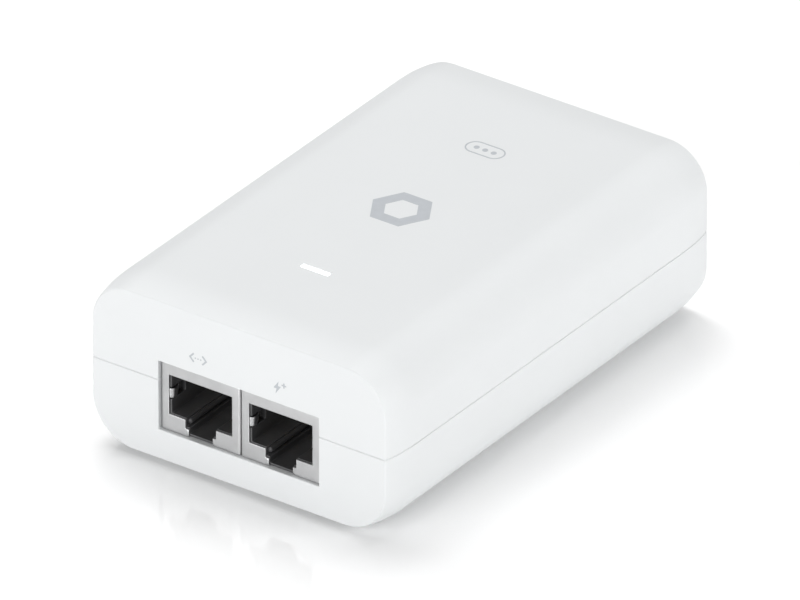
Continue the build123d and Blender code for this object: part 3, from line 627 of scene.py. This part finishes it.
def grounding_finger(side):
    """A sprung tongue that bows out of the window's edge, as a thin sheet."""
    finger = bmesh.new()
    bmesh.ops.create_grid(finger, x_segments=10, y_segments=4, size=0.5)
    for vert in finger.verts:
        along, across = vert.co.x + 0.5, vert.co.y
        taper = 1 - FINGER_TAPER * along ** 3
        bow = FINGER_BOW * math.sin(math.pi * along ** 0.6)
        vert.co = Vector((side * (WINDOW[0] + FINGER_ROOT - bow),
                          JACK_FACE_Y + FINGER_BACK + FINGER_L * along,
                          FINGER_Z + FINGER_W * across * taper))
    bmesh.ops.recalc_face_normals(finger, faces=finger.faces)
    finger.normal_update()
    if sum(face.normal.x for face in finger.faces) * side > 0:
        bmesh.ops.reverse_faces(finger, faces=finger.faces)
    return finger


def shield(name, x):
    """Folded metal can with rounded folds, its plug window and two grounding fingers."""
    half = JACK_W / 2
    can = block((-half, half), (JACK_FACE_Y, JACK_FACE_Y + JACK_L), (JACK_BASE_Z, JACK_BASE_Z + JACK_H))
    folds = [edge for edge in can.edges if max(vert.co.z for vert in edge.verts) > JACK_BASE_Z + 1]
    round_edges(can, folds, FOLD_R, 4)

    def base():
        return [face for face in can.faces if face.normal.z < -0.99]
    open_up(can, base, lambda point: point.z < JACK_BASE_Z + NEAR)

    def front():
        return [face for face in can.faces if face.normal.y < -0.99]
    for at in (WINDOW[0], NOTCH_WIDE, NOTCH_NARROW):
        score(can, front, 0, -at, at)
    score(can, front, 2, WINDOW[1], WINDOW[2], NOTCH_STEP_Z)
    open_up(can, front, in_shield_window)
    for side in (-1, 1):
        add_to(can, grounding_finger(side))
    bmesh.ops.translate(can, vec=(x, 0, 0), verts=can.verts)
    piece = make_piece("shield_can_" + name, can, "jack_shield", ["shield_" + name])
    sheet = piece.modifiers.new("sheet thickness", "SOLIDIFY")
    sheet.thickness = SHEET * MM
    sheet.offset = -1
    sheet.use_even_offset = True
    ease(piece, SHIELD_EASE)


def in_cavity(point):
    """Whether a point of the guide's front lies in its stepped cavity."""
    return (in_window(point, CAVITY) or in_window(point, (NOTCH_WIDE, CHANNEL_STEP_Z, CAVITY[1]))
            or in_window(point, (NOTCH_NARROW, CHANNEL_FLOOR_Z, CHANNEL_STEP_Z)))


def wire_places():
    """How far each contact wire lies from its jack's middle."""
    return [(index - (WIRE_COUNT - 1) / 2) * WIRE_PITCH for index in range(WIRE_COUNT)]


def hollow_guide(guide):
    """Sink the stepped cavity and the two finger pockets into the guide's front."""
    def front():
        return [face for face in guide.faces
                if face.normal.y < -0.99 and middle_of(face).y < GUIDE_FRONT + NEAR]
    for at in (CAVITY[0], NOTCH_WIDE, NOTCH_NARROW, POCKET[0]):
        score(guide, front, 0, -at, at)
    score(guide, front, 2, CHANNEL_FLOOR_Z, CHANNEL_STEP_Z, CAVITY[1], POCKET[1], POCKET[2], CAVITY[2])
    opening = [face for face in front() if in_cavity(middle_of(face)) or in_window(middle_of(face), POCKET)]
    bottom = push(guide, opening, (0, POCKET_END - GUIDE_FRONT, 0))
    deep = [face for face in bottom if in_cavity(middle_of(face))]
    push(guide, deep, (0, CAVITY_END - POCKET_END, 0))
    guide.normal_update()


def comb_slots(guide):
    """Sink a slot for each contact wire into the cavity's ceiling."""
    def ceiling():
        return [face for face in guide.faces
                if face.normal.z < -0.9 and abs(middle_of(face).z - CAVITY[2]) < NEAR]
    score(guide, ceiling, 1, SLOT_START)
    for place in wire_places():
        score(guide, ceiling, 0, place - SLOT_W / 2, place + SLOT_W / 2)
    slots = [face for face in ceiling() if middle_of(face).y > SLOT_START
             and any(abs(middle_of(face).x - place) < SLOT_W / 2 for place in wire_places())]
    push(guide, slots, (0, 0, SLOT_TOP_Z - CAVITY[2]))


def plug_guide(name, x):
    """Moulded black guide: stepped cavity, finger pockets, comb slots and a rail each side of the latch."""
    guide = block((-GUIDE_HALF, GUIDE_HALF), (GUIDE_FRONT, GUIDE_REAR), (JACK_BASE_Z, GUIDE_TOP))
    hollow_guide(guide)
    comb_slots(guide)
    bmesh.ops.recalc_face_normals(guide, faces=guide.faces)
    for rail_x in (-RAIL_X, RAIL_X):
        route = [(rail_x, CAVITY_END, RAIL_Z), (rail_x, GUIDE_FRONT + RAIL_SET_BACK, RAIL_Z)]
        add_to(guide, round_bar(route, RAIL_R, 20, True))
    bmesh.ops.translate(guide, vec=(x, 0, 0), verts=guide.verts)
    ease(make_piece("plug_guide_" + name, guide, "jack_plastic", ["housing_" + name], sharp=30.0), GUIDE_EASE)


def held_wires(name, x):
    """The fixed run of the eight contact wires, from the board up and forward to the bend."""
    rise = on_arc((TAIL_Y - WIRE_CORNER_R, WIRE_TOP_Z - WIRE_CORNER_R), WIRE_CORNER_R, 0, 90, 4)
    bend = on_arc((BEND_Y, WIRE_TOP_Z - BEND_R), BEND_R, 90, BEND_END_DEG, 8)
    wires = bmesh.new()
    for place in wire_places():
        route = [(x + place, y, z) for y, z in [(TAIL_Y, TAIL_LOW_Z)] + rise + bend]
        add_to(wires, round_bar(route, WIRE_R, 12, False))
    make_piece("held_wires_" + name, wires, "gold_contact", ["fixed_wires_" + name])


def sprung_arms(name, x):
    """The free arms of the eight contact wires, which slope down into the cavity to turned-up tips."""
    pivot = on_arc((BEND_Y, WIRE_TOP_Z - BEND_R), BEND_R, 90, BEND_END_DEG, 1)[-1]

    def down_slope(distance):
        return pivot[0] + distance * math.cos(ARM_SLOPE), pivot[1] - distance * math.sin(ARM_SLOPE)
    knee = down_slope(ARM_LENGTH)
    tip = [(knee[0] + along, knee[1] + up) for along, up in ARM_TIP]
    arms = bmesh.new()
    for place in wire_places():
        route = [(x + place, y, z) for y, z in [down_slope(ARM_GAP), down_slope(ARM_STRAIGHT), knee] + tip]
        add_to(arms, round_bar(route, WIRE_R, 12, True))
    make_piece("contact_arms_" + name, arms, "gold_contact",
               [f"contact_{name}_{index + 1}" for index in range(WIRE_COUNT)], body="contacts_" + name)


for jack, jack_x in JACKS.items():
    shield(jack, jack_x)
    plug_guide(jack, jack_x)
    held_wires(jack, jack_x)
    sprung_arms(jack, jack_x)

# ---------------------------------------------------------------- inlet and light


def inlet_pin(name, x, z):
    """A round pin with a domed tip, its tail bent down to the board."""
    elbow = on_arc((PIN_TAIL_Y + PIN_BEND_R, z - PIN_BEND_R), PIN_BEND_R, 180, 90, 6)
    tip = (PIN_TIP_Y - PIN_R * DOME[-1][0], z)
    route = [(x, y, height) for y, height in [(PIN_TAIL_Y, TAIL_LOW_Z)] + elbow + [tip]]
    make_piece("inlet_pin_" + name, round_bar(route, PIN_R, 28, True), "nickel_pin", ["pin_" + name])


def eased_copy(node, name, slot, width):
    """A merged copy of a CAD node with its sharp edges rounded."""
    shape = bmesh.new()
    shape.from_mesh(NODES[node].data)
    bmesh.ops.remove_doubles(shape, verts=shape.verts, dist=1e-6)
    bmesh.ops.dissolve_limit(shape, angle_limit=math.radians(1.0), verts=shape.verts, edges=shape.edges)
    ease(make_piece(name, shape, slot, [node], in_mm=False), width)


def light_window():
    """Milky bar that fills the roof's slot, with its flange and stem below."""
    ceiling = BODY_H - WALL
    bar = block((-LIGHT_HALF_W, LIGHT_HALF_W), (LIGHT_Y - LIGHT_HALF_T, LIGHT_Y + LIGHT_HALF_T),
                (ceiling, BAR_TOP_Z))
    round_edges(bar, [edge for edge in bar.edges if span(edge, 2) > 1], BAR_CORNER_R, 5)
    rim = [edge for edge in bar.edges if all(vert.co.z > BAR_TOP_Z - NEAR for vert in edge.verts)]
    round_edges(bar, rim, BAR_RIM_R, 3)
    add_to(bar, block((-FLANGE_HALF_W, FLANGE_HALF_W), FLANGE_Y, (ceiling - FLANGE_T, ceiling)))
    add_to(bar, block((-STEM_HALF_W, STEM_HALF_W), (LIGHT_Y - STEM_HALF_T, LIGHT_Y + STEM_HALF_T),
                      (STEM_FOOT_Z, ceiling - FLANGE_T)))
    make_piece("light_window", bar, "status_light", ["light_pipe"])


for pin, (pin_x, pin_z) in PINS.items():
    inlet_pin(pin, pin_x, pin_z)
eased_copy("inlet_housing", "inlet_moulding", "inlet_plastic", INLET_EASE)
light_window()

# ---------------------------------------------------------------- studio, in metres

FLOOR_HALF = 1.5
SOFTBOX_SIDE, SOFTBOX_AWAY, SOFTBOX_AIM_Z = 0.5, 0.8, 0.015
SOFTBOXES = {"overhead_left": (-115, 60, 3.6), "overhead_rear": (180, 70, 1.6),
             "front": (0, 15, 4.9), "side_right": (100, 12, 4.75)}    # azimuth, elevation, watts
LOOK_AT_Z = 0.018


def studio_floor():
    """A pale glossy table top."""
    mesh = bpy.data.meshes.new("floor")
    shape = bmesh.new()
    bmesh.ops.create_grid(shape, x_segments=1, y_segments=1, size=FLOOR_HALF)
    shape.to_mesh(mesh)
    shape.free()
    floor = bpy.data.objects.new("floor", mesh)
    bpy.context.scene.collection.objects.link(floor)
    material, _, shader = blank_material("floor")
    shader.inputs["Base Color"].default_value = (0.975, 0.975, 0.975, 1)
    shader.inputs["Roughness"].default_value = 0.09
    shader.inputs["IOR"].default_value = 1.75
    mesh.materials.append(material)


def direction(azimuth, elevation):
    """The way from the object to something round it. Azimuth 0 is the jack end's side, 90 is +X."""
    a, e = math.radians(azimuth), math.radians(elevation)
    return Vector((math.sin(a) * math.cos(e), -math.cos(a) * math.cos(e), math.sin(e)))


def softbox(name, azimuth, elevation, power):
    """A square soft light that faces the object."""
    light = bpy.data.lights.new(name, "AREA")
    light.shape = "SQUARE"
    light.size = SOFTBOX_SIDE
    light.energy = power
    lamp = bpy.data.objects.new(name, light)
    towards = direction(azimuth, elevation)
    lamp.location = towards * SOFTBOX_AWAY + Vector((0, 0, SOFTBOX_AIM_Z))
    lamp.rotation_mode = "QUATERNION"
    lamp.rotation_quaternion = towards.to_track_quat("Z", "Y")
    bpy.context.scene.collection.objects.link(lamp)


def white_surround(strength):
    """An even pale surround, pure white where the camera or a reflection sees it."""
    world = bpy.data.worlds.new("surround")
    world.use_nodes = True
    bpy.context.scene.world = world
    tree = world.node_tree
    lit = tree.nodes["Background"]
    lit.inputs["Color"].default_value = (1, 1, 1, 1)
    lit.inputs["Strength"].default_value = strength
    seen = tree.nodes.new("ShaderNodeBackground")
    seen.inputs["Color"].default_value = (1, 1, 1, 1)
    path = tree.nodes.new("ShaderNodeLightPath")
    mix = tree.nodes.new("ShaderNodeMixShader")
    straight = sum_of(tree, "MAXIMUM", path.outputs["Is Camera Ray"], path.outputs["Is Glossy Ray"])
    tree.links.new(straight, mix.inputs["Fac"])
    tree.links.new(lit.outputs["Background"], mix.inputs[1])
    tree.links.new(seen.outputs["Background"], mix.inputs[2])
    tree.links.new(mix.outputs["Shader"], tree.nodes["World Output"].inputs["Surface"])


def camera(azimuth, elevation, distance, lens, aim_mm):
    """A long-lens camera, its aim moved right and up by aim_mm."""
    data = bpy.data.cameras.new("camera")
    data.lens = lens
    data.sensor_width = 36.0
    data.clip_start, data.clip_end = 0.1, 20.0
    cam = bpy.data.objects.new("camera", data)
    back = direction(azimuth, elevation)
    right = Vector((math.cos(math.radians(azimuth)), math.sin(math.radians(azimuth)), 0))
    up = back.cross(right)
    target = Vector((0, 0, LOOK_AT_Z)) + right * aim_mm[0] * MM + up * aim_mm[1] * MM
    cam.location = target + back * distance
    cam.rotation_mode = "QUATERNION"
    cam.rotation_quaternion = (-back).to_track_quat("-Z", "Y")
    bpy.context.scene.collection.objects.link(cam)
    bpy.context.scene.camera = cam


studio_floor()
white_surround(0.2)
for box_name, setting in SOFTBOXES.items():
    softbox(box_name, *setting)
camera(azimuth=35.279, elevation=30.062, distance=4.3966, lens=1215.0, aim_mm=(-0.191, -3.141))
bpy.context.scene.view_settings.view_transform = "Standard"
